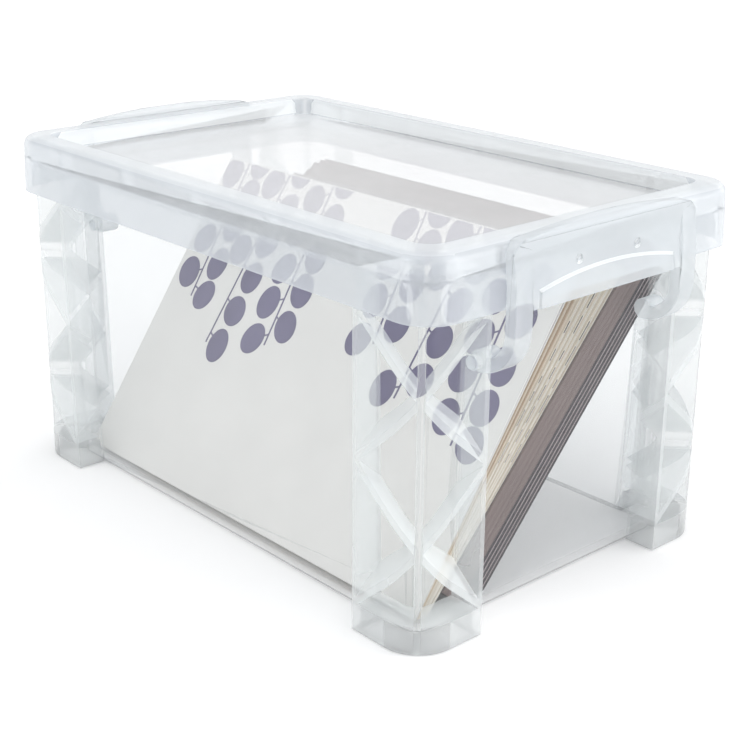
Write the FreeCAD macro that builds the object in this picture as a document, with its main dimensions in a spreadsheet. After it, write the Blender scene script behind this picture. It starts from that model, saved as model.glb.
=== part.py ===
"""Latching storage box for note cards, with the cards inside.

A clear tub with a braced post at each corner, a clip-on lid with a recessed top, two swing
latches on the short ends, and a leaning stack of cards and envelopes.

Millimetres. The origin is the centre of the base, on the surface the box stands on. +X runs
along the long side to one latch, +Y along the short side, and +Z points up.
"""
import FreeCAD, Part
import math
import os
import Sketcher

Vector = FreeCAD.Vector
Rotation = FreeCAD.Rotation
Placement = FreeCAD.Placement

SIZES = {
    # tub
    "tub_half_length": 65.8,        # outside, at the base
    "tub_half_width": 40.0,
    "tub_corner": 4.0,
    "tub_draft": 1.0,               # degrees, the walls lean outward going up
    "tub_wall": 1.5,
    "tub_floor": 1.5,
    "base_round": 0.8,
    "flange_top": 79.2,
    "flange_thick": 1.5,
    "flange_half_length": 73.9,
    "flange_half_width": 46.4,
    "flange_corner": 8.0,
    # corner posts
    "post_half_length": 73.8,       # outside faces, from the middle of the box
    "post_half_width": 47.4,
    "post_corner": 9.6,
    "post_length": 19.6,            # along X
    "post_width": 18.8,             # along Y
    "post_shoulder": 70.8,          # above this height the post is narrower, inside the lid
    "shoulder_inset": 1.0,
    "fin_thick": 1.3,
    "corner_fin_thick": 1.5,
    "brace_thick": 1.4,
    "brace_tilt": 50.3,             # degrees from the horizontal
    "brace_pitch": 32.5,            # height of one crossed pair
    "foot_height": 6.5,
    "foot_wall": 1.3,
    # lid
    "lid_bottom": 71.3,
    "lid_height": 14.0,
    "lid_half_length": 76.0,        # outside, at the bottom of the skirt
    "lid_half_width": 48.5,
    "lid_corner": 8.4,
    "lid_draft": 2.45,              # degrees, the skirt leans inward going up
    "lid_wall": 1.4,
    "lid_edge_round": 2.5,
    "rim_width": 5.9,
    "rim_thick": 1.5,
    "recess_depth": 4.6,
    "recess_corner": 4.5,
    "recess_draft": 3.0,            # degrees
    "gusset_thick": 1.2,
    "gusset_clear": 0.2,            # from the flange of the tub
    "weld": 0.3,                    # how far a web runs into the walls it joins
    # latches
    "pivot_across": 69.8,           # X of the pivot
    "pivot_up": 59.5,
    "latch_half_width": 28.1,
    "arm_width": 5.0,
    "arm_thick": 2.8,
    "hook_outer": 9.5,              # outside radius of the arm's hooked end
    "boss_radius": 2.3,
    "pin_radius": 1.5,
    "pin_clear": 0.06,              # radial
    "pin_reach": 2.0,               # beyond the arm
    "grip_outer": 78.2,             # X of the outside face
    "grip_bottom": 70.9,
    "grip_top": 86.9,
    "bead_gap": 0.4,                # from the lid's rounded edge
    "bead_wrap": 48.0,              # degrees of that edge that the bead covers
    "lip_half_width": 21.0,
    "lip_edge": 76.7,               # height of the lip's arched edge in the middle
    "lip_rise": 2.2,                # how much lower that edge is at its ends
    "lip_flare": 0.8,
    "lip_step": 0.4,
    "grip_round": 2.0,
    "arch_rise": 1.8,               # of the grip's top edge
    "arch_corner": 3.5,
    "mark_radius": 0.8,
    "mark_depth": 0.2,
    "mark_apart": 9.0,              # Y of each round mark
    # cards
    "card_length": 126.4,
    "card_height": 86.0,
    "card_right": 62.8,             # X of the right end of the printed card and the envelopes
    "cream_length": 107.0,
    "cream_height": 90.0,
    "pack_length": 115.0,
    "pack_height": 91.0,
    "dark_length": 119.0,
    "dark_height": 84.0,
    "rear_right": 63.4,             # X of the right end of the pack and the dark cards
    "card_margin": 0.04,            # gap between neighbours, and over the floor
    "stack_front": 37.0,            # distance of the first card's foot from the middle
    "front_lean": 55.5,             # degrees from the horizontal
    "rear_lean": 48.0,
    "folded_thick": 0.6,
    "envelope_thick": 0.3,
    "pack_thick": 6.4,
    "dark_thick": 0.9,
    "liner_thick": 0.2,
}

SLAB_REACH = 100.0                  # half the size of a slab that is wider than a post
GUSSET_PITCH = 27.1                 # along the long sides
END_GUSSET = 28.0                   # Y of the two gussets on each short side
ENVELOPES = 8
DARK_CARDS = 5

document = FreeCAD.newDocument("card_box")
sheet = document.addObject("Spreadsheet::Sheet", "sizes")


def fill_sheet():
    """One row for each driving dimension: its name, and its value with that name as alias."""
    for row, (alias, number) in enumerate(SIZES.items(), start=1):
        sheet.set(f"A{row}", alias)
        sheet.set(f"B{row}", str(number))
        sheet.setAlias(f"B{row}", alias)
    document.recompute()


def full(expression):
    """An expression with each alias written as a reference to the sheet."""
    words = []
    word = ""
    for letter in expression + " ":
        if letter.isalnum() or letter == "_":
            word += letter
            continue
        words.append(f"sizes.{word}" if word in SIZES else word)
        words.append(letter)
        word = ""
    return "".join(words).strip()


def value(expression):
    """The present value of an expression, in millimetres or degrees."""
    return float(sheet.evalExpression(full(expression)))


def bind(thing, **properties):
    """Binds properties of a document object to expressions of the sheet's cells."""
    for name, expression in properties.items():
        thing.setExpression(name.replace("__", "."), full(expression))


def new_body(name):
    body = document.addObject("PartDesign::Body", name)
    body.Label = name
    return body


def new_sketch(body, name, plane, offset="0"):
    """A sketch on one of the body's origin planes, moved along the plane's normal."""
    sketch = body.newObject("Sketcher::SketchObject", name)
    support = [feature for feature in body.Origin.OriginFeatures if feature.Role == plane][0]
    sketch.AttachmentSupport = (support, "")
    sketch.MapMode = "FlatFace"
    sketch.setExpression("AttachmentOffset.Base.z", full(offset))
    return sketch


def arc_between(start, end, radius, hollow):
    """The short arc from start to end. It bulges out of an anticlockwise outline, or into it."""
    chord = end - start
    to_centre = Vector(-chord.y, chord.x, 0).normalize()
    if hollow:
        to_centre = -to_centre
    reach = math.sqrt(max(radius ** 2 - (chord.Length / 2) ** 2, 0.0))
    centre = (start + end) * 0.5 + to_centre * reach
    return Part.Arc(start, centre - to_centre * radius, end)


def outline(sketch, vertices):
    """A closed outline, anticlockwise, with every vertex bound to the sheet.

    A vertex is (x, y) where a straight edge follows it, (x, y, radius) where a round edge does,
    or (x, y, radius, "hollow") where that round edge curves into the outline.
    """
    first = sketch.GeometryCount
    count = len(vertices)
    points = [Vector(value(vertex[0]), value(vertex[1]), 0) for vertex in vertices]
    for index, vertex in enumerate(vertices):
        start, end = points[index], points[(index + 1) % count]
        if len(vertex) > 2:
            hollow = len(vertex) > 3
            sketch.addGeometry(arc_between(start, end, value(vertex[2]), hollow), False)
        else:
            sketch.addGeometry(Part.LineSegment(start, end), False)
    for index, vertex in enumerate(vertices):
        edge = first + index
        following = first + (index + 1) % count
        start_end, far_end = edge_ends(sketch, edge, points[index])
        next_end = edge_ends(sketch, following, points[(index + 1) % count])[0]
        sketch.addConstraint(Sketcher.Constraint("Coincident", edge, far_end, following, next_end))
        for kind, expression, size in (
            ("DistanceX", vertex[0], points[index].x),
            ("DistanceY", vertex[1], points[index].y),
        ):
            added = sketch.addConstraint(Sketcher.Constraint(kind, -1, 1, edge, start_end, size))
            sketch.setExpression(f"Constraints[{added}]", full(expression))
        if len(vertex) > 2:
            added = sketch.addConstraint(Sketcher.Constraint("Radius", edge, value(vertex[2])))
            sketch.setExpression(f"Constraints[{added}]", full(vertex[2]))


def edge_ends(sketch, edge, start):
    """Which end of a sketch edge lies at start, and which is the other: an arc may be turned round."""
    if (sketch.getPoint(edge, 1) - start).Length < 1e-6:
        return 1, 2
    return 2, 1


def rounded_rectangle(sketch, half_x, half_y, corner):
    """A rectangle centred on the sketch's origin, with round corners."""
    in_x = f"({half_x} - ({corner}))"
    in_y = f"({half_y} - ({corner}))"
    outline(sketch, [
        (f"-{in_x}", f"-({half_y})"),
        (in_x, f"-({half_y})", corner),
        (half_x, f"-{in_y}"),
        (half_x, in_y, corner),
        (in_x, half_y),
        (f"-{in_x}", half_y, corner),
        (f"-({half_x})", in_y),
        (f"-({half_x})", f"-{in_y}", corner),
    ])


def pad(body, sketch, length, taper="0", upward=True):
    """Adds material from the sketch. A positive taper widens it."""
    feature = body.newObject("PartDesign::Pad", sketch.Name + "_pad")
    feature.Profile = sketch
    feature.Reversed = not upward
    bind(feature, Length=length, TaperAngle=taper)
    sketch.Visibility = False
    return feature


def pocket(body, sketch, depth, taper="0", along_normal=False):
    """Removes material on the far side of the sketch, or on its normal's side."""
    feature = body.newObject("PartDesign::Pocket", sketch.Name + "_pocket")
    feature.Profile = sketch
    feature.Reversed = along_normal
    bind(feature, Length=depth, TaperAngle=taper)
    return feature


def box(name, x, y, z, length, width, height):
    """A block given by its lowest corner and its size, all as expressions."""
    block = document.addObject("Part::Box", name)
    bind(block, Length=length, Width=width, Height=height)
    bind(block, Placement__Base__x=x, Placement__Base__y=y, Placement__Base__z=z)
    return block


def rod_along_y(name, x, y, z, radius, length):
    """A round bar that starts at (x, y, z) and runs towards +Y."""
    rod = document.addObject("Part::Cylinder", name)
    rod.Placement = Placement(Vector(), Rotation(Vector(1, 0, 0), -90))
    bind(rod, Radius=radius, Height=length)
    bind(rod, Placement__Base__x=x, Placement__Base__y=y, Placement__Base__z=z)
    return rod


def combine(kind, name, pieces):
    """A boolean of several objects: MultiFuse or MultiCommon."""
    result = document.addObject(f"Part::{kind}", name)
    result.Shapes = pieces
    return result


def cut(name, base, tool):
    result = document.addObject("Part::Cut", name)
    result.Base = base
    result.Tool = tool
    return result


def mirrored(name, source, normal):
    """A copy on the other side of a plane through the origin."""
    copy = document.addObject("Part::Mirroring", name)
    copy.Source = source
    copy.Normal = normal
    return copy


def edges_at_height(shape, height):
    """Names of the edges that lie flat at one height."""
    names = []
    for index, edge in enumerate(shape.Edges, start=1):
        limits = edge.BoundBox
        if abs(limits.ZMin - height) < 1e-4 and abs(limits.ZMax - height) < 1e-4:
            names.append(f"Edge{index}")
    return names


def round_edges(body, feature, height, radius):
    """Rounds every edge of the last feature that lies flat at one height."""
    document.recompute()
    rounding = body.newObject("PartDesign::Fillet", feature.Name + "_round")
    rounding.Base = (feature, edges_at_height(feature.Shape, value(height)))
    bind(rounding, Radius=radius)
    return rounding


def make_tub_shell():
    """The tub's drafted walls and floor, with the flange that the lid sits on."""
    body = new_body("tub_shell")
    outside = new_sketch(body, "tub_outside", "XY_Plane")
    rounded_rectangle(outside, "tub_half_length", "tub_half_width", "tub_corner")
    walls = pad(body, outside, "flange_top", taper="tub_draft")
    round_edges(body, walls, "0", "base_round")
    flange = new_sketch(body, "tub_flange", "XY_Plane", "flange_top - flange_thick")
    rounded_rectangle(flange, "flange_half_length", "flange_half_width", "flange_corner")
    pad(body, flange, "flange_thick")
    inside = new_sketch(body, "tub_inside", "XY_Plane", "tub_floor")
    rounded_rectangle(
        inside, "tub_half_length - tub_wall", "tub_half_width - tub_wall", "tub_corner - tub_wall",
    )
    pocket(body, inside, "flange_top", taper="tub_draft", along_normal=True)
    return body


def post_envelope(name, inset, top):
    """A pillar as wide as the four posts together, smaller by the inset on every side."""
    body = new_body(name)
    sketch = new_sketch(body, name + "_plan", "XY_Plane")
    rounded_rectangle(
        sketch, f"post_half_length - {inset}", f"post_half_width - {inset}", f"post_corner - {inset}",
    )
    pad(body, sketch, top)
    return body


def tub_block():
    """The space that the tub's walls enclose, walls included."""
    body = new_body("tub_block")
    sketch = new_sketch(body, "tub_block_plan", "XY_Plane")
    rounded_rectangle(sketch, "tub_half_length", "tub_half_width", "tub_corner")
    pad(body, sketch, "flange_top", taper="tub_draft")
    return body


def diagonal_slab(name, height, tilt, thickness):
    """A flat slab through the post's corner line that holds the corner's horizontal diagonal.

    A tilt of 90 degrees makes it an upright fin on that diagonal.
    """
    slab = document.addObject("Part::Box", name)
    bind(slab, Length=f"{2 * SLAB_REACH}", Width=f"{2 * SLAB_REACH}", Height=thickness)
    slope = math.radians(value(tilt))
    across = Vector(1, 1, 0).normalize()
    diagonal = Vector(1, -1, 0).normalize()
    up_slope = across * math.cos(slope) + Vector(0, 0, 1) * math.sin(slope)
    normal = diagonal.cross(up_slope)
    turn = Rotation(diagonal, up_slope, normal, "XYZ")
    corner = Vector(value("post_half_length"), -value("post_half_width"), value(height))
    corner_of_slab = turn.multVec(Vector(SLAB_REACH, SLAB_REACH, value(thickness) / 2))
    slab.Placement = Placement(corner - corner_of_slab, turn)
    return slab


def make_near_post():
    """The braced post at the corner of +X and -Y."""
    left = "post_half_length - post_length"
    back = "-(post_half_width - post_width)"
    top = "flange_top - flange_thick"
    reach = "2 * post_length"
    shaft = post_envelope("post_shaft", "0", "post_shoulder")
    neck = post_envelope("post_neck", "shoulder_inset", top)
    pillar = combine("MultiFuse", "post_pillar", [shaft, neck])
    quarter = box("post_quarter", left, f"{back} - {reach}", "0", reach, reach, top)
    solid_corner = combine("MultiCommon", "post_corner_block", [pillar, quarter])
    corner = cut("post_corner_space", solid_corner, tub_block())

    band_inside = post_envelope("foot_hollow", "foot_wall", "foot_height")
    foot_block = box("foot_block", left, f"{back} - {reach}", "0", reach, reach, "foot_height")
    ribs = [
        box("side_fin", left, f"{back} - {reach}", "0", "fin_thick", reach, top),
        box("end_fin", left, f"{back} - fin_thick", "0", reach, "fin_thick", top),
        box("foot_plate", left, f"{back} - {reach}", "foot_height - fin_thick", reach, reach, "fin_thick"),
        cut("foot_band", foot_block, band_inside),
        diagonal_slab("corner_fin", "0", "90", "corner_fin_thick"),
    ]
    for level in range(2):
        crossing = f"foot_height + brace_pitch * {level + 0.5}"
        ribs.append(diagonal_slab(f"rising_brace_{level + 1}", crossing, "brace_tilt", "brace_thick"))
        ribs.append(diagonal_slab(f"falling_brace_{level + 1}", crossing, "-brace_tilt", "brace_thick"))
    lattice = combine("MultiFuse", "post_lattice", ribs)
    post = combine("MultiCommon", "post_uncut", [corner, lattice])
    pin_hole = rod_along_y(
        "post_pin_hole", "pivot_across", f"{back} - 2 * fin_thick", "pivot_up",
        "pin_radius + pin_clear", "4 * fin_thick",
    )
    return cut("corner_post_1", post, pin_hole)


def make_posts():
    """The four posts, numbered anticlockwise seen from above."""
    first = make_near_post()
    second = mirrored("corner_post_2", first, Vector(0, 1, 0))
    third = mirrored("corner_post_3", second, Vector(1, 0, 0))
    fourth = mirrored("corner_post_4", first, Vector(1, 0, 0))
    return [first, second, third, fourth]


def recess_half(outside):
    """Half the recess at the rim, from half the lid at the bottom of its skirt."""
    return f"({outside} - lid_height * tan(lid_draft) - rim_width)"


def channel_half(outside):
    """Half the inside of the skirt at the level of the panel's underside."""
    return f"({outside} - lid_wall - (flange_top - lid_bottom) * tan(lid_draft))"


def lid_gussets():
    """Short upright webs in the channel between the skirt and the recess."""
    low = "flange_top + gusset_clear"
    tall = "lid_bottom + lid_height - rim_thick / 2 - flange_top - gusset_clear"
    webs = []
    for side in (-1, 1):
        for outside, pitch, steps in (
            ("lid_half_width", GUSSET_PITCH, range(-2, 3)),
            ("lid_half_length", END_GUSSET, (-1, 1)),
        ):
            inner = f"({recess_half(outside)} + lid_wall - weld)"
            outer = f"({channel_half(outside)} + weld)"
            start = inner if side > 0 else f"-{outer}"
            span = f"{outer} - {inner}"
            for step in steps:
                name = f"gusset_{len(webs)}"
                along = f"{step * pitch} - gusset_thick / 2"
                if outside == "lid_half_width":
                    webs.append(box(name, along, start, low, "gusset_thick", span, tall))
                else:
                    webs.append(box(name, start, along, low, span, "gusset_thick", tall))
    inset = "(lid_wall + rim_width - weld)"
    half_web = "gusset_thick / 2 * sin(45)"
    for side_x, side_y in ((1, 1), (-1, 1), (-1, -1), (1, -1)):
        web = box(
            f"corner_gusset_{len(webs)}",
            f"{side_x} * (lid_half_length - {inset}) + {side_y} * {half_web}",
            f"{side_y} * (lid_half_width - {inset}) - {side_x} * {half_web}",
            low, "rim_width - lid_wall + 2 * weld", "gusset_thick", tall,
        )
        web.Placement.Rotation = Rotation(Vector(0, 0, 1), math.degrees(math.atan2(side_y, side_x)))
        webs.append(web)
    return webs


def make_lid():
    """The lid: a drafted skirt, a flat rim, and a recessed panel that another box can stand in."""
    body = new_body("lid_shell")
    top = "lid_bottom + lid_height"
    halves = ("lid_half_length", "lid_half_width")
    outside = new_sketch(body, "lid_outside", "XY_Plane", "lid_bottom")
    rounded_rectangle(outside, *halves, "lid_corner")
    block = pad(body, outside, "lid_height", taper="-lid_draft")
    round_edges(body, block, top, "lid_edge_round")

    recess = new_sketch(body, "lid_recess", "XY_Plane", top)
    rounded_rectangle(recess, *[recess_half(half) for half in halves], "recess_corner")
    pocket(body, recess, "recess_depth", taper="-recess_draft")

    inside = new_sketch(body, "lid_inside", "XY_Plane", "lid_bottom")
    inside_corner = "lid_corner - lid_wall"
    rounded_rectangle(inside, *[f"({half} - lid_wall)" for half in halves], inside_corner)
    pocket(body, inside, "flange_top - lid_bottom", taper="-lid_draft", along_normal=True)

    channel = new_sketch(body, "lid_channel", "XY_Plane", "flange_top")
    rounded_rectangle(channel, *[channel_half(half) for half in halves], inside_corner)
    island = [f"({recess_half(half)} + lid_wall)" for half in halves]
    rounded_rectangle(channel, *island, "recess_corner + lid_wall")
    pocket(body, channel, f"{top} - rim_thick - flange_top", along_normal=True)
    return combine("MultiFuse", "lid", [body] + lid_gussets())


def latch_grip():
    """The plate that bridges the two arms, with a bead that hooks over the lid's edge."""
    body = new_body("latch_grip")
    edge_across = "(lid_half_length - lid_height * tan(lid_draft) - lid_edge_round)"
    edge_up = "(lid_bottom + lid_height - lid_edge_round)"
    bead = "(lid_edge_round + bead_gap)"
    tip_across = f"({edge_across} + {bead} * cos(bead_wrap))"
    tip_up = f"({edge_up} + {bead} * sin(bead_wrap))"
    profile = new_sketch(body, "grip_profile", "XZ_Plane", "-latch_half_width")
    outline(profile, [
        ("grip_outer - lip_flare / 4", "grip_bottom"),
        ("grip_outer + lip_flare", "grip_bottom"),
        ("grip_outer", "lip_edge + lip_step"),
        ("grip_outer", "grip_top - grip_round", "grip_round"),
        ("grip_outer - grip_round", "grip_top"),
        (f"{tip_across} + grip_round / 2", "grip_top - lip_step"),
        (tip_across, tip_up, bead, "hollow"),
        (f"{edge_across} + {bead}", edge_up),
        ("lid_half_length + bead_gap", "lip_edge"),
    ])
    pad(body, profile, "2 * latch_half_width")

    arch = new_sketch(body, "grip_arch", "YZ_Plane", "grip_outer + lip_flare + weld")
    shoulder = "(grip_top - arch_rise)"
    side = "(latch_half_width - arch_corner)"
    arch_radius = f"({side} * {side} + arch_rise * arch_rise) / (2 * arch_rise)"
    outline(arch, [
        ("latch_half_width", f"{shoulder} - arch_corner"),
        ("latch_half_width + weld", f"{shoulder} - arch_corner"),
        ("latch_half_width + weld", "grip_top + weld"),
        ("-(latch_half_width + weld)", "grip_top + weld"),
        ("-(latch_half_width + weld)", f"{shoulder} - arch_corner"),
        ("-latch_half_width", f"{shoulder} - arch_corner", "arch_corner", "hollow"),
        (f"-{side}", shoulder, arch_radius, "hollow"),
        (side, shoulder, "arch_corner", "hollow"),
    ])
    pocket(body, arch, "2 * arm_width")
    return body


def latch_lip():
    """The raised finger lip low on the grip, with an arched upper edge and a flared face."""
    body = new_body("latch_lip")
    front = new_sketch(body, "lip_front", "YZ_Plane", "grip_outer - lip_step")
    rise = "lip_rise"
    half = "(lip_half_width - lip_step)"
    arch_radius = f"({half} * {half} + {rise} * {rise}) / (2 * {rise})"
    outline(front, [
        ("-lip_half_width", "grip_bottom"),
        ("lip_half_width", "grip_bottom"),
        (half, f"lip_edge - {rise}", arch_radius),
        (f"-{half}", f"lip_edge - {rise}"),
    ])
    pad(body, front, "lip_flare + 2 * lip_step")
    flare = new_sketch(body, "lip_face", "XZ_Plane", "-(lip_half_width + weld)")
    outline(flare, [
        ("grip_outer + lip_flare + lip_step", "grip_bottom - weld"),
        ("grip_outer + lip_flare + arm_thick", "grip_bottom - weld"),
        ("grip_outer + lip_flare + arm_thick", "lip_edge + weld"),
        ("grip_outer + lip_step", "lip_edge + weld"),
    ])
    pocket(body, flare, "2 * (lip_half_width + weld)", along_normal=True)
    return body


def latch_arm():
    """One arm: an upright outside the lid's skirt, a hook that turns in under it, and the pivot pin."""
    near = "-latch_half_width"
    outer = "pivot_across + hook_outer"
    bend_up = "(pivot_up - boss_radius + hook_outer)"
    ring = cut(
        "hook_ring",
        rod_along_y("hook_outside", "pivot_across", near, bend_up, "hook_outer", "arm_width"),
        rod_along_y("hook_inside", "pivot_across", near, bend_up, "hook_outer - arm_thick", "arm_width"),
    )
    bend_box = box(
        "hook_quarter", "pivot_across", near, f"{bend_up} - hook_outer", "hook_outer", "arm_width",
        "hook_outer",
    )
    bend = combine("MultiCommon", "hook_bend", [ring, bend_box])
    upright = new_body("arm_upright")
    side = new_sketch(upright, "arm_side", "XZ_Plane", "latch_half_width - arm_width")
    outline(side, [
        (f"{outer} - arm_thick", bend_up),
        (outer, bend_up),
        (outer, "lip_edge - lip_rise"),
        ("grip_outer", "grip_top - 2 * grip_round"),
        ("grip_outer - lip_step", "grip_top - 2 * grip_round"),
        (f"{outer} - arm_thick", "lip_edge"),
    ])
    pad(upright, side, "arm_width")
    boss = rod_along_y("arm_boss", "pivot_across", near, "pivot_up", "boss_radius", "arm_width")
    pin = rod_along_y(
        "arm_pin", "pivot_across", f"{near} - pin_reach", "pivot_up", "pin_radius", "arm_width",
    )
    return combine("MultiFuse", "latch_arm", [bend, upright, boss, pin])


def make_latches():
    """The two latches. Each is one moulding: two arms, a grip, a finger lip and two pins."""
    near_arm = latch_arm()
    far_arm = mirrored("latch_arm_far", near_arm, Vector(0, 1, 0))
    whole = combine("MultiFuse", "latch_uncut", [latch_grip(), latch_lip(), near_arm, far_arm])
    marks = []
    for side in (-1, 1):
        mark = document.addObject("Part::Cylinder", f"ejector_mark_{len(marks)}")
        mark.Placement = Placement(Vector(), Rotation(Vector(0, 1, 0), 90))
        bind(
            mark, Radius="mark_radius", Height="2 * mark_depth",
            Placement__Base__x="grip_outer - mark_depth",
            Placement__Base__y=f"{side} * mark_apart",
            Placement__Base__z="lip_edge + 2 * mark_radius + lip_step",
        )
        marks.append(mark)
    first = cut("latch_1", whole, combine("MultiFuse", "ejector_marks", marks))
    return [first, mirrored("latch_2", first, Vector(1, 0, 0))]


def card(name, size, right, lean, foot):
    """A flat piece that stands on the tub's floor and leans back.

    size is its length, thickness and height, right the X of its end, and foot the Y of its lowest edge.
    """
    length, thickness, height = size
    slab = document.addObject("Part::Box", name)
    bind(slab, Length=length, Width=thickness, Height=height)
    angle = math.radians(lean)
    thick = value(thickness)
    slab.Placement = Placement(
        Vector(
            value(right) - value(length),
            foot - thick * math.sin(angle),
            value("tub_floor + card_margin") + thick * math.cos(angle),
        ),
        Rotation(Vector(1, 0, 0), lean - 90.0),
    )
    return slab


def stack_order():
    """Name, size and right end of each piece of the stack, from the front to the back."""
    order = [("printed_card", ("card_length", "folded_thick", "card_height"), "card_right")]
    for number in range(1, ENVELOPES + 1):
        size = ("cream_length", "envelope_thick", "cream_height")
        order.append((f"cream_envelope_{number}", size, "card_right"))
    order.append(("envelope_pack", ("pack_length", "pack_thick", "pack_height"), "rear_right"))
    for number in range(1, DARK_CARDS + 1):
        order.append((f"dark_card_{number}", ("dark_length", "dark_thick", "dark_height"), "rear_right"))
        if number < DARK_CARDS:
            size = ("dark_length", "liner_thick", "dark_height")
            order.append((f"card_liner_{number}", size, "rear_right"))
    return order


def make_stack():
    """The leaning stack. The cream envelopes fan out between the front lean and the rear lean."""
    steepest, flattest = value("front_lean"), value("rear_lean")
    margin = value("card_margin")
    foot = -value("stack_front")
    lean = steepest
    pieces = []
    for index, (name, size, right) in enumerate(stack_order()):
        thickness = size[1]
        if index:
            previous = lean
            lean = max(flattest, lean - (steepest - flattest) / ENVELOPES)
            turn = math.radians(previous - lean)
            step = value(thickness) * math.cos(turn) + margin
            foot += step / math.sin(math.radians(previous))
        pieces.append(card(name, size, right, lean, foot))
    return pieces


def check_document(parts):
    """Stops the script if an object failed, or a sub-part has no whole shape."""
    for thing in document.Objects:
        if "Invalid" in thing.State or "Error" in thing.State:
            raise RuntimeError(f"{thing.Name} failed: {thing.State}")
    for part in parts:
        shape = part.Shape
        if shape.isNull() or not shape.isValid() or not shape.Solids:
            raise RuntimeError(f"{part.Label} has no valid solid")


def main():
    fill_sheet()
    parts = [make_tub_shell()]
    parts += make_posts()
    parts.append(make_lid())
    parts += make_latches()
    parts += make_stack()
    document.recompute()
    check_document(parts)
    os.makedirs("parts", exist_ok=True)
    for part in parts:
        part.Shape.exportStep(os.path.join("parts", part.Label + ".step"))
        print(f"{part.Label}: {part.Shape.Volume:.1f} mm3 in {len(part.Shape.Solids)} solid")


main()
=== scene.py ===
import math
import random

import bmesh
import bpy
from mathutils import Matrix, Vector
from mathutils.bvhtree import BVHTree


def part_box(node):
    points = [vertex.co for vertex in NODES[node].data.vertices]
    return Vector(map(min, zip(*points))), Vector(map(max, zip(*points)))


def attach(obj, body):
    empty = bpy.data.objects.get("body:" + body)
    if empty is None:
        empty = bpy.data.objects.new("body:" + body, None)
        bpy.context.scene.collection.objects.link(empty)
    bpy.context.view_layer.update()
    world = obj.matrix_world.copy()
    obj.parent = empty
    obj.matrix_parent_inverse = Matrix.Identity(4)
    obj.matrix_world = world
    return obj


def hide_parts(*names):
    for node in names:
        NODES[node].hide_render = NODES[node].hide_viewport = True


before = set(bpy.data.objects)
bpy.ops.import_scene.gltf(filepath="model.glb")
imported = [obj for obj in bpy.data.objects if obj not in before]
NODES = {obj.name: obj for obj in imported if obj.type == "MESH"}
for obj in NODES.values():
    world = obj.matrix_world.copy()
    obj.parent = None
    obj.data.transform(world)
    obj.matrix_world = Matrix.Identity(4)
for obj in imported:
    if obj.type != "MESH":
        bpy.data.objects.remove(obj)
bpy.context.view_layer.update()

MM = 0.001
EDGE = 1                 # where the material of rounded edges, painted bright as a highlight, stands in a moulded piece's list
POSTS = [f"corner_post_{number}" for number in range(1, 5)]
CREAMS = [f"cream_envelope_{number}" for number in range(1, 9)]
DARKS = [f"dark_card_{number}" for number in range(1, 6)]
LINERS = [f"card_liner_{number}" for number in range(1, 5)]


# ---------------------------------------------------------------- camera, light and floor

def make_camera():
    """The camera: azimuth round the box, elevation, a slight roll, and its place off the line of sight."""
    azimuth, elevation, roll = math.radians(47.99), math.radians(20.57), math.radians(0.39)
    distance, aside, above = 355.35 * MM, 5.48 * MM, -18.43 * MM
    target = Vector((0.0, 0.0, 49.56 * MM))
    back = Vector((
        math.sin(azimuth) * math.cos(elevation),
        -math.cos(azimuth) * math.cos(elevation),
        math.sin(elevation),
    ))
    level = Vector((math.cos(azimuth), math.sin(azimuth), 0.0))
    upright = back.cross(level)
    right = level * math.cos(roll) + upright * math.sin(roll)
    up = upright * math.cos(roll) - level * math.sin(roll)
    data = bpy.data.cameras.new("camera")
    data.lens = 69.74
    data.sensor_width = 36.0
    data.clip_start = 0.01
    camera = bpy.data.objects.new("camera", data)
    bpy.context.scene.collection.objects.link(camera)
    place = target + back * distance + right * aside + up * above
    camera.matrix_world = Matrix.Translation(place) @ Matrix((right, up, back)).transposed().to_4x4()
    bpy.context.scene.camera = camera


def make_sun(name, direction, spread_angle, strength):
    """A very soft, even light from one direction."""
    data = bpy.data.lights.new(name, "SUN")
    data.angle = math.radians(spread_angle)
    data.energy = strength
    lamp = bpy.data.objects.new(name, data)
    bpy.context.scene.collection.objects.link(lamp)
    lamp.rotation_euler = Vector(direction).to_track_quat("Z", "Y").to_euler()


def make_studio():
    """A white room with an even sky, three soft lights and a pale floor that reaches out of sight."""
    world = bpy.data.worlds.new("studio")
    bpy.context.scene.world = world
    world.use_nodes = True
    sky = world.node_tree.nodes["Background"]
    sky.inputs["Color"].default_value = (0.985, 0.99, 1.0, 1.0)
    sky.inputs["Strength"].default_value = 0.75
    make_sun("key", (-0.25, -0.5, 0.82), 70.0, 0.88)
    make_sun("side", (0.85, -0.15, 0.4), 60.0, 0.6)
    make_sun("rear", (0.45, 0.8, 0.4), 60.0, 2.0)
    bpy.context.scene.view_settings.view_transform = "Standard"
    bpy.context.scene.cycles.transparent_max_bounces = 64

    reach = 40.0
    corners = [(-reach, -reach, 0), (reach, -reach, 0), (reach, reach, 0), (-reach, reach, 0)]
    mesh = bpy.data.meshes.new("floor")
    mesh.from_pydata(corners, [], [(0, 1, 2, 3)])
    floor = bpy.data.objects.new("floor", mesh)
    bpy.context.scene.collection.objects.link(floor)
    floor.location.z = -0.2 * MM
    mesh.materials.append(floor_material())


# ---------------------------------------------------------------- materials

def new_material(name):
    """An empty material, with its nodes, its links and its output node."""
    material = bpy.data.materials.new(name)
    material.use_nodes = True
    tree = material.node_tree
    tree.nodes.clear()
    return material, tree.nodes, tree.links, tree.nodes.new("ShaderNodeOutputMaterial")


def noise(nodes, links, scale, detail=3.0, stretch=(1.0, 1.0, 1.0)):
    """The value of a noise texture, with its scale in features per metre."""
    place = nodes.new("ShaderNodeTexCoord")
    mapping = nodes.new("ShaderNodeMapping")
    mapping.inputs["Scale"].default_value = stretch
    texture = nodes.new("ShaderNodeTexNoise")
    texture.inputs["Scale"].default_value = scale
    texture.inputs["Detail"].default_value = detail
    links.new(place.outputs["Object"], mapping.inputs["Vector"])
    links.new(mapping.outputs["Vector"], texture.inputs["Vector"])
    return texture.outputs["Fac"]


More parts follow.
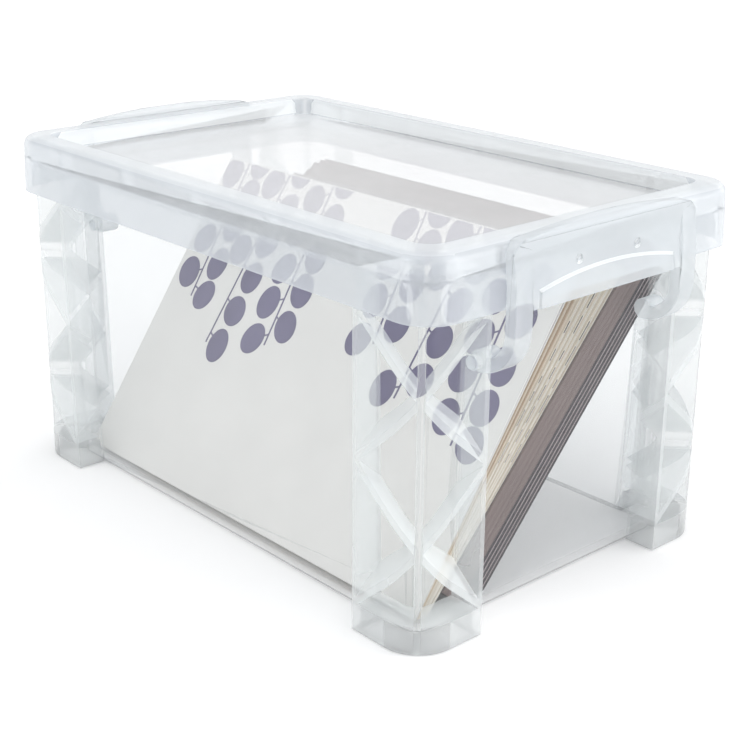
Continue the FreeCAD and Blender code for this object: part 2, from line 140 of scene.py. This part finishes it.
def spread(nodes, links, source, low, high, start=0.3, end=0.7):
    """The source, from start to end, stretched to low to high."""
    node = nodes.new("ShaderNodeMapRange")
    node.inputs["From Min"].default_value = start
    node.inputs["From Max"].default_value = end
    node.inputs["To Min"].default_value = low
    node.inputs["To Max"].default_value = high
    links.new(source, node.inputs["Value"])
    return node.outputs["Result"]


def math_node(nodes, links, operation, first, second):
    """A Math node of two inputs, each a socket or a number."""
    node = nodes.new("ShaderNodeMath")
    node.operation = operation
    for socket, source in zip(node.inputs, (first, second)):
        if isinstance(source, float):
            socket.default_value = source
        else:
            links.new(source, socket)
    return node.outputs[0]


def two_tone(nodes, links, factor, dark, light):
    """A colour that goes from dark to light with the factor."""
    node = nodes.new("ShaderNodeMix")
    node.data_type = "RGBA"
    node.inputs[6].default_value = (*dark, 1.0)
    node.inputs[7].default_value = (*light, 1.0)
    links.new(factor, node.inputs[0])
    return node.outputs[2]


def bump(nodes, links, height, distance, strength):
    """Small relief, distance deep, for a shader's normal."""
    node = nodes.new("ShaderNodeBump")
    node.inputs["Distance"].default_value = distance
    node.inputs["Strength"].default_value = strength
    links.new(height, node.inputs["Height"])
    return node.outputs["Normal"]


def floor_material():
    """Matt white, very slightly uneven."""
    material, nodes, links, output = new_material("pale_floor")
    shader = nodes.new("ShaderNodeBsdfPrincipled")
    shader.inputs["Roughness"].default_value = 0.7
    tone = spread(nodes, links, noise(nodes, links, 3.0), 0.0, 1.0)
    white = two_tone(nodes, links, tone, (0.935, 0.935, 0.935), (0.95, 0.95, 0.95))
    links.new(white, shader.inputs["Base Color"])
    links.new(shader.outputs["BSDF"], output.inputs["Surface"])
    return material


def plastic(name, tint, haze, edge_haze, passed, roughness, shade):
    """Moulded plastic, clear to milky.

    haze is how much of the surface is milky seen face on, and edge_haze seen at a grazing angle.
    passed is the colour of what comes straight through, and shade of what a lamp's light leaves.
    """
    material, nodes, links, output = new_material(name)
    cloud = noise(nodes, links, 38.0, detail=4.0)
    flow = noise(nodes, links, 60.0, detail=2.0, stretch=(0.35, 0.35, 1.0))
    ripple = noise(nodes, links, 55.0, detail=1.0)

    milky = nodes.new("ShaderNodeBsdfPrincipled")
    milky.inputs["IOR"].default_value = 1.49
    milky.inputs["Specular IOR Level"].default_value = 0.3
    dull = [channel * 0.97 for channel in tint]
    patches = spread(nodes, links, cloud, 0.0, 1.0)
    links.new(two_tone(nodes, links, patches, dull, tint), milky.inputs["Base Color"])
    links.new(spread(nodes, links, cloud, roughness * 0.8, roughness * 1.3), milky.inputs["Roughness"])
    links.new(bump(nodes, links, ripple, 0.1 * MM, 0.1), milky.inputs["Normal"])

    facing = nodes.new("ShaderNodeLayerWeight")
    facing.inputs["Blend"].default_value = 0.5
    steep = math_node(nodes, links, "POWER", facing.outputs["Facing"], 2.8)
    amount = spread(nodes, links, steep, haze, edge_haze, 0.0, 1.0)
    uneven = math_node(nodes, links, "MULTIPLY", amount, spread(nodes, links, flow, 0.94, 1.06))

    clear = nodes.new("ShaderNodeBsdfTransparent")
    clear.inputs["Color"].default_value = (*passed, 1.0)
    seen = nodes.new("ShaderNodeMixShader")
    links.new(uneven, seen.inputs[0])
    links.new(clear.outputs["BSDF"], seen.inputs[1])
    links.new(milky.outputs["BSDF"], seen.inputs[2])

    lit = nodes.new("ShaderNodeBsdfTransparent")
    lit.inputs["Color"].default_value = (*shade, 1.0)
    rays = nodes.new("ShaderNodeLightPath")
    whole = nodes.new("ShaderNodeMixShader")
    links.new(rays.outputs["Is Shadow Ray"], whole.inputs[0])
    links.new(seen.outputs["Shader"], whole.inputs[1])
    links.new(lit.outputs["BSDF"], whole.inputs[2])
    links.new(whole.outputs["Shader"], output.inputs["Surface"])
    return material


def paper(name, colour, fleck=0.08, roughness=0.8):
    """Matt paper or card: uneven in tone by the share fleck, with a fine fibre grain."""
    material, nodes, links, output = new_material(name)
    shader = nodes.new("ShaderNodeBsdfPrincipled")
    shader.inputs["Roughness"].default_value = roughness
    tone = noise(nodes, links, 70.0, detail=5.0)
    fibre = noise(nodes, links, 2600.0, detail=2.0, stretch=(0.3, 1.0, 1.0))
    dark = [channel * (1.0 - fleck) for channel in colour]
    light = [min(channel * (1.0 + fleck * 0.5), 1.0) for channel in colour]
    patches = spread(nodes, links, tone, 0.0, 1.0)
    links.new(two_tone(nodes, links, patches, dark, light), shader.inputs["Base Color"])
    links.new(bump(nodes, links, fibre, 0.06 * MM, 0.25), shader.inputs["Normal"])
    links.new(shader.outputs["BSDF"], output.inputs["Surface"])
    return material


# ---------------------------------------------------------------- moulded pieces

def new_piece(name, mesh, body, nodes, materials):
    """Links a mesh as a piece that rides on a body and stands in for CAD nodes."""
    piece = bpy.data.objects.new(name, mesh)
    bpy.context.scene.collection.objects.link(piece)
    for material in materials:
        mesh.materials.append(material)
    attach(piece, body)
    if nodes:
        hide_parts(*nodes)
    return piece


def welded_copy(node):
    """A loose copy of one CAD node, with the vertices its faces share made one."""
    mesh = NODES[node].data.copy()
    work = bmesh.new()
    work.from_mesh(mesh)
    bmesh.ops.remove_doubles(work, verts=work.verts, dist=0.001 * MM)
    work.to_mesh(mesh)
    work.free()
    copy = bpy.data.objects.new(node + "_welded", mesh)
    bpy.context.scene.collection.objects.link(copy)
    return copy


def joined_mesh(name, nodes):
    """One closed mesh of several CAD nodes."""
    copies = [welded_copy(node) for node in nodes]
    for copy in copies[1:]:
        union = copies[0].modifiers.new(copy.name, "BOOLEAN")
        union.operation = "UNION"
        union.solver = "MANIFOLD"
        union.object = copy
    bpy.context.view_layer.update()
    evaluated = copies[0].evaluated_get(bpy.context.evaluated_depsgraph_get())
    mesh = bpy.data.meshes.new_from_object(evaluated)
    for copy in copies:
        bpy.data.objects.remove(copy)
    mesh.name = name
    mesh.materials.clear()
    return mesh


def tidy_mesh(mesh):
    """Makes whole faces of a mesh's flat triangles and marks them smooth."""
    work = bmesh.new()
    work.from_mesh(mesh)
    bmesh.ops.dissolve_limit(work, angle_limit=math.radians(0.5), verts=work.verts, edges=work.edges)
    for face in work.faces:
        face.smooth = True
        face.material_index = 0
    work.to_mesh(mesh)
    work.free()
    return mesh


def pull_in_spikes(rounded, sharp, reach):
    """Puts back on the sharp shape what rounding threw clear of it at very narrow corners."""
    corners = [vertex.co for vertex in sharp.vertices]
    surface = BVHTree.FromPolygons(corners, [face.vertices for face in sharp.polygons])
    sole = min(corner.z for corner in corners)
    for vertex in rounded.vertices:
        nearest, _, _, distance = surface.find_nearest(vertex.co)
        if distance > reach:
            vertex.co = nearest
        vertex.co.z = max(vertex.co.z, sole)


def moulded(name, nodes, body, materials, edge_round, choose):
    """A moulded piece with its sharp edges rounded.

    choose gives each face's material, from its middle, its normal and whether it is a rounded edge.
    """
    mesh = tidy_mesh(joined_mesh(name, nodes))
    for material in materials:
        mesh.materials.append(material)
    rough = bpy.data.objects.new(name + "_sharp", mesh)
    bpy.context.scene.collection.objects.link(rough)
    bevel = rough.modifiers.new("edge_round", "BEVEL")
    bevel.width = edge_round
    bevel.segments = 2
    bevel.use_clamp_overlap = False
    bevel.limit_method = "ANGLE"
    bevel.angle_limit = math.radians(35)
    bevel.material = EDGE
    bpy.context.view_layer.update()
    evaluated = rough.evaluated_get(bpy.context.evaluated_depsgraph_get())
    rounded = bpy.data.meshes.new_from_object(evaluated)
    rounded.name = name
    bpy.data.objects.remove(rough)
    rounded.materials.clear()
    pull_in_spikes(rounded, mesh, 0.4 * edge_round)
    for face in rounded.polygons:
        face.material_index = choose(face.center, face.normal, face.material_index == EDGE)
    piece = new_piece(name, rounded, body, nodes, materials)
    weighted = piece.modifiers.new("flat_faces", "WEIGHTED_NORMAL")
    weighted.keep_sharp = True


def make_tub():
    """The tub and its posts: clear walls, denser ribs and feet, the feet's grey tint being painted shade,
    a floor lightened with painted light, rounded edges painted bright as highlights and a dark painted
    contact shadow along the sole.
    """
    shade = (0.985, 0.987, 0.988)
    passed = (0.955, 0.959, 0.961)
    dense, dark_shade = (0.94, 0.945, 0.947), (0.55, 0.55, 0.56)
    materials = [
        plastic("tub_clear", (0.80, 0.82, 0.83), 0.012, 0.45, passed, 0.25, shade),
        # the rounded edges' nearly white, milky tint is a painted highlight
        plastic("tub_edge_painted_highlight", (0.95, 0.96, 0.965), 0.62, 0.88, passed, 0.15, shade),
        plastic("tub_rib", (0.79, 0.815, 0.815), 0.27, 0.7, passed, 0.15, shade),
        # the feet's grey tint is painted shade for the dim light low down; the denser passed colour is the
        # thicker plastic
        plastic("tub_foot_painted_shade", (0.57, 0.58, 0.58), 0.28, 0.7, dense, 0.12, dark_shade),
        # a dark tint along the lowest edges: a painted contact shadow
        plastic("tub_sole_painted_shadow", (0.22, 0.22, 0.22), 0.3, 0.75, dense, 0.2, dark_shade),
        # the tub floor's lighter, clearer tint is painted light that lifts the shade under the stack
        plastic("tub_floor", (0.93, 0.94, 0.945), 0.05, 0.5, (0.99, 0.99, 0.99), 0.14, shade),
    ]
    clear, _, rib, foot, sole_painted_shadow, tub_floor = range(len(materials))
    foot_corners = [v.co for v in NODES["tub_shell"].data.vertices if v.co.z < 1.0 * MM]
    half_length = max(corner.x for corner in foot_corners)
    half_width = max(corner.y for corner in foot_corners)
    draft = math.tan(math.radians(1.0))
    painted_shadow_top, foot_top, flange_under = 0.9 * MM, 6.1 * MM, 77.6 * MM
    skin = 0.05 * MM

    def choose(middle, normal, is_edge):
        growth = middle.z * draft + skin
        outside = abs(middle.x) > half_length + growth or abs(middle.y) > half_width + growth
        # the lowest side faces take the dark painted contact shadow
        if middle.z < painted_shadow_top and abs(normal.z) < 0.95:
            return sole_painted_shadow
        if is_edge:
            return EDGE
        # faces of the feet outside the walls take the grey tint of painted shade
        if middle.z < foot_top and outside:
            return foot
        # upward faces low in the tub take the lighter tint of painted light
        if middle.z < foot_top and abs(normal.z) > 0.9:
            return tub_floor
        return rib if outside and middle.z < flange_under else clear

    moulded("clear_tub", ["tub_shell"] + POSTS, "tub", materials, 0.15 * MM, choose)


def make_lid_and_latches():
    """The lid, with a hazy panel, a milky rim and skirt and bright gussets, and the two milky latches; the
    rim's upward faces carry painted light, and the rounded edges and the latches' finger lip carry a
    painted highlight.
    """
    shade = (0.975, 0.978, 0.98)
    passed = (0.985, 0.987, 0.988)
    # the lid's and latches' rounded edges: a nearly white, milky tint as a painted highlight
    lid_edge_painted_highlight = plastic("lid_edge_painted_highlight", (0.96, 0.97, 0.975), 0.75, 0.92, passed, 0.2, shade)
    lid_materials = [
        plastic("lid_milky", (0.63, 0.66, 0.69), 0.42, 0.78, passed, 0.18, shade),
        lid_edge_painted_highlight,
        plastic("lid_panel", (0.83, 0.835, 0.84), 0.25, 0.6, (0.98, 0.982, 0.983), 0.2, shade),
        plastic("lid_gusset", (0.92, 0.94, 0.95), 0.6, 0.85, passed, 0.2, shade),
        # upward rim faces get a lighter tint: painted light
        plastic("lid_rim_top_painted_light", (0.73, 0.755, 0.775), 0.42, 0.75, passed, 0.2, shade),
    ]
    latch_materials = [
        plastic("latch_milky", (0.65, 0.68, 0.70), 0.42, 0.8, passed, 0.16, shade),
        lid_edge_painted_highlight,
        # the lip's upward faces get a bright tint: a painted highlight
        plastic("latch_ledge_painted_highlight", (0.88, 0.90, 0.91), 0.6, 0.85, passed, 0.16, shade),
    ]
    milky, _, panel, gusset, rim_top_painted_light = range(len(lid_materials))
    half_length, half_width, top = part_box("lid")[1]
    panel_top, rim_under = top - 4.5 * MM, top - 2.2 * MM
    panel_thick, skirt_wall, gusset_reach = 2.0 * MM, 1.7 * MM, 7.0 * MM

    def choose(middle, normal, is_edge):
        from_outside = min(half_width - abs(middle.y), half_length - abs(middle.x))
        in_skirt = middle.z < rim_under and skirt_wall < from_outside < gusset_reach
        if is_edge:
            return gusset if in_skirt else EDGE
        if panel_top - panel_thick < middle.z < panel_top and abs(normal.z) > 0.9:
            return panel
        # upward faces high on the rim take the lighter tint of painted light
        if normal.z > 0.7 and middle.z > rim_under:
            return rim_top_painted_light
        return gusset if in_skirt and max(abs(normal.x), abs(normal.y)) > 0.95 else milky

    grip_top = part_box("latch_1")[1][2]
    lip_top, lip_foot, lip_half = grip_top - 5.0 * MM, grip_top - 16.0 * MM, 24.0 * MM
    ledge_highlight = len(latch_materials) - 1

    def choose_for_latch(middle, normal, is_edge):
        if is_edge:
            return EDGE
        on_lip = lip_foot < middle.z < lip_top and abs(middle.y) < lip_half
        # upward faces of the finger lip take the bright tint of a painted highlight
        return ledge_highlight if on_lip and normal.z > 0.25 else milky

    moulded("clip_lid", ["lid"], "lid", lid_materials, 0.3 * MM, choose)
    for node in ("latch_1", "latch_2"):
        moulded(f"swing_{node}", [node], node, latch_materials, 0.3 * MM, choose_for_latch)


# ---------------------------------------------------------------- the stack of cards

def card_space(node):
    """The leaning slab of a card node: its two ends in X, height, thickness, and a placing function.

    The function takes X, the height up the card, and the depth behind its front face.
    """
    corners = [vertex.co for vertex in NODES[node].data.vertices]
    front_foot = min(corners, key=lambda corner: corner.y)
    back_foot = min(corners, key=lambda corner: corner.z)
    front_top = max(corners, key=lambda corner: corner.z)
    start = Vector((0.0, front_foot.y, front_foot.z))
    up = Vector((0.0, front_top.y, front_top.z)) - start
    inward = Vector((0.0, back_foot.y, back_foot.z)) - start
    height, thickness = up.length, inward.length
    up.normalize()
    inward.normalize()

    def place(across, along, deep):
        return start + Vector((across, 0.0, 0.0)) + up * along + inward * deep

    ends = (min(corner.x for corner in corners), max(corner.x for corner in corners))
    return ends, height, thickness, place


def add_sheet(work, place, ends, bottom, top, depth_at, thickness, material=0, across=18, along=24):
    """A thin sheet from bottom to top between two ends in X. depth_at gives its front face's depth."""
    left, right = ends
    rings = []
    for column in range(across + 1):
        x = left + (right - left) * column / across
        levels = [bottom + (top - bottom) * row / along for row in range(along + 1)]
        front = [work.verts.new(place(x, s, depth_at(x, s))) for s in levels]
        rear = [work.verts.new(place(x, s, depth_at(x, s) + thickness)) for s in reversed(levels)]
        rings.append(front + rear)
    count = len(rings[0])
    for near, far in zip(rings, rings[1:]):
        for index in range(count):
            following = (index + 1) % count
            face = work.faces.new((near[index], near[following], far[following], far[index]))
            face.material_index = material
    for ring, flip in ((rings[0], True), (rings[-1], False)):
        for row in range(along):
            corners = [ring[row], ring[row + 1], ring[count - 2 - row], ring[count - 1 - row]]
            face = work.faces.new(corners[::-1] if flip else corners)
            face.material_index = material


def add_fold(work, place, ends, foot, front_depth, rear_depth, thickness, material=0):
    """A rounded fold that joins two sheets along their feet."""
    middle = (front_depth + rear_depth + thickness) / 2
    outer = (rear_depth + thickness - front_depth) / 2
    inner = max(outer - thickness, 0.0)
    turns = [math.pi * step / 6 for step in range(7)]

    def arc(radius, angles):
        return [(foot - radius * math.sin(angle), middle - radius * math.cos(angle)) for angle in angles]

    outline = arc(outer, turns) + arc(inner, reversed(turns))
    near, far = [[work.verts.new(place(x, *point)) for point in outline] for x in ends]
    count = len(near)
    for index in range(count):
        following = (index + 1) % count
        face = work.faces.new((near[index], near[following], far[following], far[index]))
        face.material_index = material
    for ring in (near, far):
        work.faces.new(ring).material_index = material


def finished_mesh(name, work):
    """The mesh of what was built, with its faces turned outwards."""
    bmesh.ops.recalc_face_normals(work, faces=work.faces)
    mesh = bpy.data.meshes.new(name)
    work.to_mesh(mesh)
    work.free()
    return mesh


def waves(generator, size):
    """A gentle bow of a sheet: a depth that changes slowly along its length and height."""
    whole_turn, side_bend = 6.28, 0.06
    length = generator.uniform(0.05, 0.09)
    shift, drift = generator.uniform(0.0, whole_turn), generator.uniform(0.0, whole_turn)

    def depth(x, s):
        along = math.sin(s / length * whole_turn + shift)
        across = math.sin(x / side_bend + drift)
        return size * (0.5 + 0.25 * along + 0.25 * across)

    return depth


def folded_card(
    node, name, materials, leaf, opening, generator, uneven=0.6 * MM, recess=0.0, lowered=0.0,
):
    """A folded card: two leaves that open a little towards the top, joined by a fold at the foot.

    With three materials, a sheet of the third stands between the leaves and a little above them.
    With four, short dark strips of the fourth also stand between the leaves at the right end and darken
    the slots there.
    """
    ends, full_height, thickness, place = card_space(node)
    height = full_height - lowered
    fold = thickness / 2
    flat_foot, insert_shows = 10.0 * MM, 1.6 * MM
    work = bmesh.new()
    left = ends[0] + generator.uniform(0.0, uneven * 3)
    right = ends[1] - recess - generator.uniform(0.0, uneven * 0.3)
    bow = waves(generator, max(thickness - 2.2 * leaf, 0.0) * 0.4)

    def front_depth(x, s):
        return bow(x, s) * min(s / flat_foot, 1.0)

    def rear_depth(x, s):
        rise = s / height
        return thickness - leaf - bow(x, s) * 0.4 + opening * rise ** 1.3

    def between(x, s):
        return (front_depth(x, s) + leaf + rear_depth(x, s)) / 2

    above = height if len(materials) < 3 else height - insert_shows
    tops = [above - generator.uniform(0.0, uneven * 2) for _ in range(2)]
    add_sheet(work, place, (left, right), fold, tops[0], front_depth, leaf, 0)
    add_sheet(work, place, (left, right), fold, tops[1], rear_depth, leaf, min(1, len(materials) - 1))
    add_fold(work, place, (left, right), fold, 0.0, thickness - leaf, leaf, 0)
    if len(materials) > 2:
        inner = (left + generator.uniform(0.5, 2.5) * MM, right - generator.uniform(0.8, 1.6) * MM)
        sheet = leaf * 0.4
        inner_foot, inner_top = height * 0.3, height - generator.uniform(0.0, 0.5) * MM
        add_sheet(
            work, place, inner, inner_foot, inner_top, lambda x, s: between(x, s) - sheet / 2, sheet, 2,
        )
    if len(materials) > 3:
        # short dark strips between the leaves near the right end, which darken the slots there
        low, dark_strips_end = height * 0.42, height * 0.86
        while low < dark_strips_end:
            high = low + generator.uniform(1.5, 5.0) * MM
            dark_strip_thickness = (rear_depth(right, low) - front_depth(right, low) - leaf) * 0.85
            reach = (right - 0.7 * MM, right - 0.02 * MM)
            add_sheet(
                work, place, reach, low, high, lambda x, s: between(x, s) - dark_strip_thickness / 2, dark_strip_thickness, 3,
                across=1, along=2,
            )
            low = high + generator.uniform(1.0, 4.5) * MM
    new_piece(name, finished_mesh(name, work), "tub", [node], materials)


def sheet_pack(node, name, materials, count, generator, filled, stepped=0):
    """A tight pack of sheets whose tops and left ends don't quite line up.

    filled is how much of each sheet's share of the thickness is paper.
    The first sheets, stepped of them, rise in steps to the full height.
    """
    ends, height, thickness, place = card_space(node)
    pitch = thickness / count
    step = 1.0 * MM
    work = bmesh.new()
    for number in range(count):
        start = number * pitch
        left = ends[0] + generator.uniform(0.0, 3.0 * MM)
        right = ends[1] - generator.uniform(0.0, 0.08 * MM)
        top = height - max(stepped - number, 0) * step - generator.uniform(0.0, 0.4 * MM)
        bow = waves(generator, pitch * (1.0 - filled) * 0.8)
        add_sheet(
            work, place, (left, right), 0.0, top, lambda x, s: start + bow(x, s), pitch * filled,
            number % len(materials), across=10, along=12,
        )
    new_piece(name, finished_mesh(name, work), "tub", [node], materials)


def add_patch(work, place, outline_points, lift=0.03 * MM):
    """A thin raised patch of ink with the given outline on the front of a card."""
    ink = 0.016 * MM
    top = [work.verts.new(place(x, s, -lift)) for x, s in outline_points]
    under = [work.verts.new(place(x, s, -lift + ink)) for x, s in outline_points]
    work.faces.new(top)
    work.faces.new(under[::-1])
    count = len(top)
    for index in range(count):
        following = (index + 1) % count
        work.faces.new((top[index], under[index], under[following], top[following]))


def oval(x, s, half_width, half_height, turn):
    """The outline of a turned oval."""
    points = []
    steps = 28
    for step in range(steps):
        angle = 2 * math.pi * step / steps
        across, along = half_width * math.cos(angle), half_height * math.sin(angle)
        points.append((
            x + across * math.cos(turn) - along * math.sin(turn),
            s + across * math.sin(turn) + along * math.cos(turn),
        ))
    return points


def strip(start, end, width):
    """The outline of a straight strip."""
    run = Vector(end) - Vector(start)
    side = Vector((-run.y, run.x)).normalized() * width / 2
    corners = (Vector(start) + side, Vector(end) + side, Vector(end) - side, Vector(start) - side)
    return [tuple(corner) for corner in corners]


def add_sprig(work, place, limits, root, lean, length, centres, generator):
    """A stem that hangs from the top of the card, with ovals on short twigs to its left and right."""
    (left, right), top = limits
    direction = Vector((math.sin(lean), -math.cos(lean)))
    side = Vector((-direction.y, direction.x))
    pitch, ovals_apart, clear_of_top = 4.9 * MM, 8.0 * MM, 1.0 * MM
    stem_width, stem_lift = 0.55 * MM, 0.024 * MM
    twig_width, twig_lift = 0.45 * MM, 0.021 * MM
    count = int(length / pitch)
    tip = Vector(root) + direction * ((count - 1) * pitch)
    add_patch(work, place, strip(root, tip, stem_width), stem_lift)
    for number in range(count):
        joint = Vector(root) + direction * ((number - 0.6) * pitch)
        reach = generator.uniform(4.4, 5.0) * MM
        twig = side * reach * (-1) ** number + direction * generator.uniform(1.4, 2.6) * MM
        centre = joint + twig
        if any((centre - other).length < ovals_apart for other in centres) or abs(centre.x) > right:
            continue
        centres.append(centre)
        if joint.y < top - clear_of_top:
            near_oval = joint + twig * 0.45
            add_patch(work, place, strip(joint, near_oval, twig_width), twig_lift)
        points = oval(
            centre.x, centre.y, generator.uniform(3.6, 3.9) * MM, generator.uniform(4.2, 4.7) * MM,
            generator.uniform(-0.5, 0.5) - lean,
        )
        add_patch(work, place, [(min(max(x, left), right), min(s, top)) for x, s in points])


def make_print(kinds):
    """A generic print of ovals on stems, hanging from the top of the front card."""
    ends, height, _, place = card_space("printed_card")
    generator = random.Random(5)
    margin = 0.3 * MM
    limits = ((ends[0] + margin, ends[1] - margin), height - margin)
    stems = (                # place in X and length in millimetres, and lean in radians
        (-55.0, 47.0, 0.05),
        (-37.5, 57.0, -0.03),
        (-20.0, 52.0, 0.05),
        (14.0, 40.0, 0.08),
        (32.0, 52.0, -0.04),
        (49.5, 57.0, 0.04),
    )
    centres = []
    work = bmesh.new()
    for across, length, lean in stems:
        root = (across * MM, height - margin)
        add_sprig(work, place, limits, root, lean, length * MM, centres, generator)
    mesh = finished_mesh("card_print", work)
    new_piece("card_print", mesh, "tub", [], [kinds["ink"]])


def make_stack():
    """All the paper: the printed card, the cream envelopes, the mauve pack, the dark cards and liners."""
    kinds = {
        "card": paper("white_card", (0.80, 0.79, 0.765), 0.03),
        "ink": paper("violet_ink", (0.17, 0.155, 0.25), 0.15, 0.6),
        "cream": paper("cream_paper", (0.86, 0.78, 0.66)),
        "tan": paper("tan_paper", (0.62, 0.48, 0.34)),
        "pale": paper("pale_paper", (0.92, 0.89, 0.83)),
        "lining": paper("grey_lining", (0.26, 0.24, 0.235), 0.2),
        "mauve": paper("mauve_paper", (0.165, 0.12, 0.112)),
        "mauve_dark": paper("mauve_paper_dark", (0.15, 0.107, 0.1)),
        "mauve_light": paper("mauve_paper_light", (0.18, 0.133, 0.124)),
        "plum": paper("plum_card", (0.022, 0.013, 0.018), 0.2, 0.75),
        "liner": paper("liner_paper", (0.42, 0.35, 0.36)),
    }
    generator = random.Random(11)
    folded_card(
        "printed_card", "folded_printed_card", [kinds["card"]],
        leaf=0.25 * MM, opening=0.5 * MM, generator=generator, uneven=0.0,
    )
    make_print(kinds)
    tans, with_dark_strips = (0, 1), (2, 4, 6)
    drop = 0.45 * MM         # each cream envelope's top is this much below the next one's
    for number, node in enumerate(CREAMS):
        leaves = [kinds["tan"], kinds["cream"]] if number in tans else [kinds["cream"], kinds["pale"]]
        dark_strips = [kinds["plum"]] if number in with_dark_strips else []
        folded_card(
            node, f"folded_{node}", leaves + [kinds["lining"]] + dark_strips,
            leaf=0.12 * MM, opening=0.0 if node == CREAMS[-1] else 0.5 * MM, generator=generator,
            lowered=(len(CREAMS) - 1 - number) * drop,
        )
    mauves = [kinds["mauve"], kinds["mauve_light"], kinds["mauve"], kinds["mauve_dark"]]
    sheet_pack(
        "envelope_pack", "mauve_envelopes", mauves,
        count=16, generator=generator, filled=0.95, stepped=5,
    )
    for node in DARKS:
        folded_card(
            node, f"folded_{node}", [kinds["plum"]],
            leaf=0.42 * MM, opening=0.0, generator=generator, recess=0.1 * MM,
        )
    for node in LINERS:
        sheet_pack(
            node, f"loose_{node}", [kinds["liner"]], count=1, generator=generator, filled=0.9,
        )


make_camera()
make_studio()
make_tub()
make_lid_and_latches()
make_stack()
